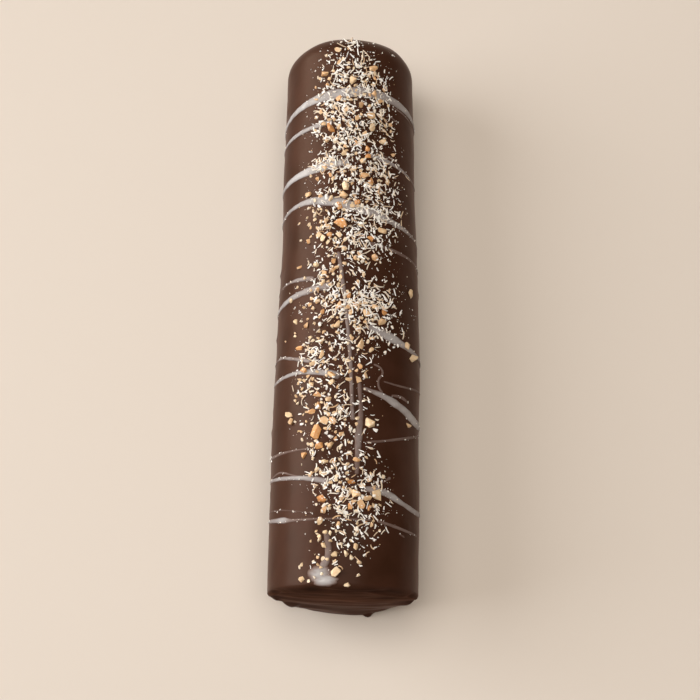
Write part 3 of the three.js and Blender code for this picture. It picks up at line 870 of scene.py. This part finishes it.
# %% Nut material
roasted, tree, surface = new_material("roasted_chopped_nut")
MOTTLE_MM, MOTTLE_REACH = 1.2, 0.18
place = add_node(tree, "ShaderNodeTexCoord").outputs["Object"]
tone = add_node(tree, "ShaderNodeAttribute", attribute_name="tone").outputs["Fac"]
mottle = add_node(tree, "ShaderNodeTexNoise", {"Vector": place, "Scale": 1 / (MOTTLE_MM * MM), "Detail": 2.0})
spread = add_node(tree, "ShaderNodeMapRange", {
    "Value": mottle.outputs["Fac"], "From Min": NOISE_LOW, "From Max": NOISE_HIGH,
    "To Min": -MOTTLE_REACH, "To Max": MOTTLE_REACH})
mixed = add_node(tree, "ShaderNodeMath", {0: tone, 1: spread.outputs["Result"]},
                 operation="ADD", use_clamp=True)
shade = add_node(tree, "ShaderNodeValToRGB", {"Fac": mixed.outputs["Value"]})
set_stops(shade, [(0.0, "#EADCC7"), (0.35, "#E3CAA5"), (0.7, "#DFB88C"), (1.0, "#D09050")])
tree.links.new(shade.outputs["Color"], surface.inputs["Base Color"])
surface.inputs["Roughness"].default_value = 0.55
surface.inputs["IOR"].default_value = 1.47
nuts = joined_piece("chopped_nuts", nut_parts, "tone", roasted, False)
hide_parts("swiss_roll")
print("nut faces:", len(nuts.data.polygons))

# %% [markdown]
# ## Coconut
# Dried coconut is cut in fine strips that curl a little as they dry. They are strewn as the nuts were.
# In a few places a pinch fell as a heap, with its arc, y, reach and count.

# %% Places of the strips
SHRED_SEED, SHRED_COUNT, SOLID_SHREDS = 77, 1480, 36
SHRED_LONG, SHRED_SHORT, SHRED_FADE = 5.0, 1.6, 420
HEAP_GATHER, HEAP_SIZES = (0.6, 1.0), (2.0, 4.0)
HEAPS = [(13, -7, 10, 66), (-4, -6, 9, 42), (16, 70, 8, 16), (15, 98, 8, 12), (14, 55, 8, 12),
         (-6, 101, 7, 8), (4, -110, 7, 18), (2, 125, 9, 10), (-17, -35, 9, 24), (-13, 71, 9, 26),
         (0, 140, 7, 16), (-7, -66, 8, 16), (6, 26, 8, 12)]


def shred_size(rank):
    return SHRED_SHORT + (SHRED_LONG - SHRED_SHORT) * math.exp(-rank / SHRED_FADE)


strips = scatter(SHRED_COUNT, SHRED_SEED, COCONUT, shred_size, nut_spots[:SOLID_NUTS], SOLID_SHREDS)
shred_spots = [spot for rank, spot in enumerate(ragged(strips, SHRED_SEED, SOLID_SHREDS))
               if rank < SOLID_SHREDS or not missed(*spot[:2])]
heap_roll = dice(SHRED_SEED)
for arc, y, reach, count in HEAPS:
    for _ in range(count):
        way, gap = heap_roll(0, math.tau), reach * math.sqrt(heap_roll()) * heap_roll(*HEAP_GATHER)
        size, turn = heap_roll(*HEAP_SIZES), heap_roll(0, math.pi)
        shred_spots.append((arc + gap * math.cos(way), y + gap * math.sin(way), size, turn))
print("shreds:", len(shred_spots))

# %% [markdown]
# A cube, cut across a few times and then bent, is a strip with the right square ends. A curve with a
# bevel would do too, but it would be round. Some strips are toasted: those are longer, darker and more
# curled. Strips that lie over a nut stand steeper. One long sliver lies by itself on the right.

# %% One straight strip
SHRED_CUTS = 5
bm = bmesh.new()
bmesh.ops.create_cube(bm, size=1.0)
lengthwise = [e for e in bm.edges if abs(e.verts[0].co.x - e.verts[1].co.x) > 0.5]
bmesh.ops.subdivide_edges(bm, edges=lengthwise, cuts=SHRED_CUTS, use_grid_fill=True)
strip, strip_faces = arrays_of(bm)
print("corners of a strip:", len(strip))

# %% Bend and lay each strip
SHRED_WIDTH, SHRED_WIDTHS = 0.52, (0.55, 1.3)
SHRED_THICKNESS, SHRED_THICKNESSES = 0.38, (0.7, 1.1)
TOASTED_EVERY, TOASTED_LENGTHS, PLAIN_LENGTHS = 4, (1.0, 1.7), (0.7, 1.1)
CURL, TOASTED_CURL, SHRED_RISES, SHRED_TAPER = 0.35, 1.4, (-0.05, 0.2), 0.45
SHRED_SEAT, SHRED_LOOSE, SHRED_LEAN = 0.45, 0.25, 0.5
ON_A_NUT, STEEP_ON_NUT, STEEP_ON_COAT = 0.2, 0.45, 0.14
SLIVER = (35.6, 70.7, 4.2, 2.7)


def shred_arrays(rank, spot, toasted):
    arc, y, size, turn = spot
    roll = dice(SHRED_SEED + rank + 1)
    length = size * roll(*(TOASTED_LENGTHS if toasted else PLAIN_LENGTHS))
    width, thick = SHRED_WIDTH * roll(*SHRED_WIDTHS), SHRED_THICKNESS * roll(*SHRED_THICKNESSES)
    curl = roll(-CURL, CURL) * (TOASTED_CURL if toasted else roll())
    rise = roll(*SHRED_RISES)
    x, side, up = strip.T
    taper = 1 - SHRED_TAPER * (2 * x) ** 2 * roll()
    bow = (4 * x * x - 1 / 3) / 2
    corners = np.stack([x * length, side * width * taper + curl * length * bow,
                        up * thick * taper + rise * length * bow], axis=1)
    over = nut_cover(arc, y)
    steep = STEEP_ON_NUT if over > ON_A_NUT else STEEP_ON_COAT
    lift = SHRED_SEAT * thick + icing_height(arc, y) + over + roll(0, SHRED_LOOSE)
    lean, tip = roll(-SHRED_LEAN, SHRED_LEAN), roll(-steep, steep)
    return laid_on_coat(corners, arc, y, lift, turn, lean, tip), strip_faces, roll()


shred_parts = [shred_arrays(rank, spot, rank % TOASTED_EVERY == 0) for rank, spot in enumerate(shred_spots)]
sliver = shred_arrays(len(shred_spots), SLIVER, True)
print("first shred spans, mm:", round(float(np.ptp(shred_parts[0][0], axis=0).max()) / MM, 1))

# %% [markdown]
# Plain coconut is a warm white with a matt, slightly waxy face. Toasted coconut goes from cream to
# light brown. Each strip has its own tone. Light passes a little way into thin strips, but they are so
# small here that a bright colour does the same.


# %% Coconut materials
def coconut_material(name, stops):
    material, tree, surface = new_material(name)
    tone = add_node(tree, "ShaderNodeAttribute", attribute_name="tone").outputs["Fac"]
    shade = add_node(tree, "ShaderNodeValToRGB", {"Fac": tone})
    set_stops(shade, stops)
    tree.links.new(shade.outputs["Color"], surface.inputs["Base Color"])
    surface.inputs["Roughness"].default_value = 0.6
    surface.inputs["IOR"].default_value = 1.45
    return material


white_flesh = coconut_material("dried_coconut", [(0.0, "#F2E6D4"), (0.3, "#F8F4EE"), (1.0, "#FEFEFE")])
toasted_flesh = coconut_material("toasted_coconut", [(0.0, "#F2E6D6"), (0.6, "#E6D0B4"), (1.0, "#CEA880")])
print("materials:", white_flesh.name, toasted_flesh.name)

# %% Join the strips
white_parts = [part for rank, part in enumerate(shred_parts) if rank % TOASTED_EVERY]
toasted_parts = [*shred_parts[::TOASTED_EVERY], sliver]
white_shreds = joined_piece("coconut_shreds", white_parts, "tone", white_flesh, False)
toasted_shreds = joined_piece("toasted_coconut", toasted_parts, "tone", toasted_flesh, True)
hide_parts("swiss_roll")
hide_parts("swiss_roll")
print("coconut faces:", len(white_shreds.data.polygons) + len(toasted_shreds.data.polygons))

# %% [markdown]
# ## Flakes and crumbs
# Between the strips lie broken flakes of one or two millimetres, and crumbs of coconut and nut under a
# millimetre, which stray further than the rest. Some crumbs stuck to the wet icing, and a thin scatter
# reaches over the far rim. They are small hulls again, with fewer corners. A particle system could
# strew them too, but here each must lie on the icing or the nuts under it.

# %% Places of the flakes and crumbs
STUCK_ASIDE, STUCK_SHARE = 1, 0.6
END_SEED, END_COUNT, END_FROM, END_TO, END_HALF = 31, 80, 126, 146.5, 30


def bit_spots(count, seed, fringe):
    spots = ragged(scatter(count, seed, COCONUT, lambda rank: 0.0, (), 0, fringe), seed, 0)
    return [spot for spot in spots if not missed(*spot[:2])]


def icing_spots(count, seed):
    roll = dice(seed)
    spots = []
    for _ in range(count):
        arc, y, width, _ = line_points[int(roll(0, len(line_points)))]
        aside, along = roll(-STUCK_ASIDE, STUCK_ASIDE), roll(-STUCK_SHARE, STUCK_SHARE)
        spots.append((arc + aside, y + width * along, 0.0, roll(0, math.pi)))
    return spots


def end_spots():
    roll = dice(END_SEED)
    return [(END_HALF * (roll(-1, 1) + roll(-1, 1)) / 2, roll(END_FROM, END_TO), 0.0, roll(0, math.pi))
            for _ in range(END_COUNT)]


print("spots over the far rim:", len(end_spots()))

# %% Lay the flakes and crumbs
BIT_FORMS, BIT_CORNERS = 10, 8
BIT_LENGTH, BIT_WIDTH, BIT_HEIGHT = (0.9, 1.5), (0.6, 1.0), (0.4, 0.8)
BIT_SEAT, BIT_LEAN = 0.2, 0.4
bit_forms = [chip_form(chip_roll, BIT_CORNERS) for _ in range(BIT_FORMS)]


def bits(spots, seed, sizes, stray=0.0):
    parts = []
    for rank, (arc, y, _, turn) in enumerate(spots):
        roll = dice(seed + rank + 1)
        y += roll(-1, 1) * stray
        size = sizes[0] + (sizes[1] - sizes[0]) * roll() ** 2
        corners, faces = bit_forms[rank % BIT_FORMS]
        lift = BIT_SEAT * size + icing_height(arc, y) + nut_cover(arc, y)
        shape = np.array((roll(*BIT_LENGTH), roll(*BIT_WIDTH), roll(*BIT_HEIGHT))) * size
        lean, tip = roll(-BIT_LEAN, BIT_LEAN), roll(-BIT_LEAN, BIT_LEAN)
        placed = laid_on_coat(corners * shape, arc, y, lift, turn, lean, tip)
        parts.append((placed, faces, roll()))
    return parts


print("bit faces:", [len(faces) for _, faces in bit_forms])

# %% Join the flakes and crumbs
CRUMB_SEED, CRUMB_COUNT, CRUMB_SIZES, CRUMB_FRINGE, CRUMB_STRAY = 19, 2200, (0.25, 0.8), 0.9, 9
FLAKE_SEED, FLAKE_COUNT, FLAKE_SIZES, FLAKE_STRAY = 23, 800, (0.7, 2.1), 3
STUCK_SEED, STUCK_COUNT, STUCK_SIZES, END_SIZES = 29, 300, (0.35, 0.9), (0.35, 1.2)
NUT_CRUMB_EVERY, CRUMB_TONES = 5, 0.6
crumbs = bits(bit_spots(CRUMB_COUNT, CRUMB_SEED, CRUMB_FRINGE), CRUMB_SEED, CRUMB_SIZES, CRUMB_STRAY)
flakes = bits(bit_spots(FLAKE_COUNT, FLAKE_SEED, FRINGE_SHARE), FLAKE_SEED, FLAKE_SIZES, FLAKE_STRAY)
flakes += bits(icing_spots(STUCK_COUNT, STUCK_SEED), STUCK_SEED, STUCK_SIZES)
flakes += bits(end_spots(), END_SEED, END_SIZES)
nut_crumbs = [(corners, faces, CRUMB_TONES * tone) for corners, faces, tone in crumbs[::NUT_CRUMB_EVERY]]
white_bits = flakes + [part for rank, part in enumerate(crumbs) if rank % NUT_CRUMB_EVERY]
joined_piece("coconut_flakes", white_bits, "tone", white_flesh, False)
joined_piece("nut_crumbs", nut_crumbs, "tone", roasted, False)
print("flakes and crumbs:", len(flakes), len(crumbs))

# %% [markdown]
# ## Floor, light and camera
# The cake lies on a plain, matt, pale floor. The floor is a round sheet, and a pale ball far around it
# closes the view. Only the camera sees that ball, so it lights nothing and casts no shadow.


# %% Floor
def stage_object(name, bm, material):
    mesh = bpy.data.meshes.new(name)
    bm.to_mesh(mesh)
    bm.free()
    mesh.materials.append(material)
    made = bpy.data.objects.new(name, mesh)
    bpy.context.scene.collection.objects.link(made)
    return made


FLOOR_RADIUS, FLOOR_SIDES = 1.25, 128
pale, tree, surface = new_material("pale_floor")
surface.inputs["Base Color"].default_value = colour("#E0D7CE")
surface.inputs["Roughness"].default_value = 1.0
surface.inputs["Specular IOR Level"].default_value = 0.0
bm = bmesh.new()
bmesh.ops.create_circle(bm, cap_ends=True, segments=FLOOR_SIDES, radius=FLOOR_RADIUS)
floor = stage_object("floor", bm, pale)
print("floor:", floor.name)

# %% Backdrop
BACKDROP_RADIUS = 6.0
haze, tree, surface = new_material("pale_backdrop")
surface.inputs["Base Color"].default_value = colour("#000000")
surface.inputs["Emission Color"].default_value = colour("#D6CABD")
surface.inputs["Emission Strength"].default_value = 1.0
bm = bmesh.new()
bmesh.ops.create_icosphere(bm, subdivisions=4, radius=BACKDROP_RADIUS)
backdrop = stage_object("backdrop", bm, haze)
backdrop.visible_diffuse = backdrop.visible_glossy = backdrop.visible_shadow = False
print("backdrop:", backdrop.name)

# %% [markdown]
# A low, broad window on the left models the roll, and a warm light overhead fills in the right side.
# Satin chocolate also mirrors the room, so a panel at the far left is seen in reflections only. A weak
# warm surround keeps the shadows open. One picture of a room could give all this light at once, but
# lamps can be set one by one.

# %% Surround
scene = bpy.context.scene
scene.view_settings.view_transform = "Standard"
world = bpy.data.worlds.new("soft_surround")
world.use_nodes = True
world.node_tree.nodes["Background"].inputs["Color"].default_value = colour("#FFDFC0")
world.node_tree.nodes["Background"].inputs["Strength"].default_value = 0.1
scene.world = world
print("surround:", world.name)

# %% Lights
LIT_POINT = Vector((0, 0, 0.03))


def soft_light(name, place, size, power, tint):
    lamp = bpy.data.lights.new(name, "AREA")
    lamp.shape = "DISK"
    lamp.size = size
    lamp.energy = power
    lamp.color = colour(tint)[:3]
    holder = bpy.data.objects.new(name, lamp)
    holder.location = place
    holder.rotation_euler = (LIT_POINT - Vector(place)).to_track_quat("-Z", "Y").to_euler()
    scene.collection.objects.link(holder)
    return holder


soft_light("window", (-2.45, 0.25, 1.15), size=2.4, power=64, tint="#FFFFFF")
soft_light("ceiling", (-0.1, -0.1, 2.4), size=2.4, power=47, tint="#FFF7EC")
panel = soft_light("panel", (-1.75, 1.0, 0.8), size=2.3, power=130, tint="#FFE6CC")
panel.visible_diffuse = False
print("lights:", [lamp.name for lamp in bpy.data.lights])

# %% [markdown]
# The cake is seen from steeply above. The camera was fitted to the roll's outline, and it stands about
# ten roll widths away, with a long lens.

# %% Camera
ELEVATION, AZIMUTH = math.radians(71.5), math.radians(0.72)
AIM = (Vector((1.86, -21.45, 36.0)) + CENTRED) * MM
DISTANCE, FOCAL_PIXELS, FRAME_PIXELS, SENSOR = 0.7719, 1500, 700, 36.0
back = Vector((math.sin(AZIMUTH) * math.cos(ELEVATION), -math.cos(AZIMUTH) * math.cos(ELEVATION),
               math.sin(ELEVATION)))
camera = bpy.data.objects.new("camera", bpy.data.cameras.new("camera"))
camera.data.sensor_width = SENSOR
camera.data.lens = SENSOR * FOCAL_PIXELS / FRAME_PIXELS
camera.location = AIM + back * DISTANCE
camera.rotation_euler = (-back).to_track_quat("-Z", "Y").to_euler()
scene.collection.objects.link(camera)
scene.camera = camera
print("lens, mm:", round(camera.data.lens, 1))
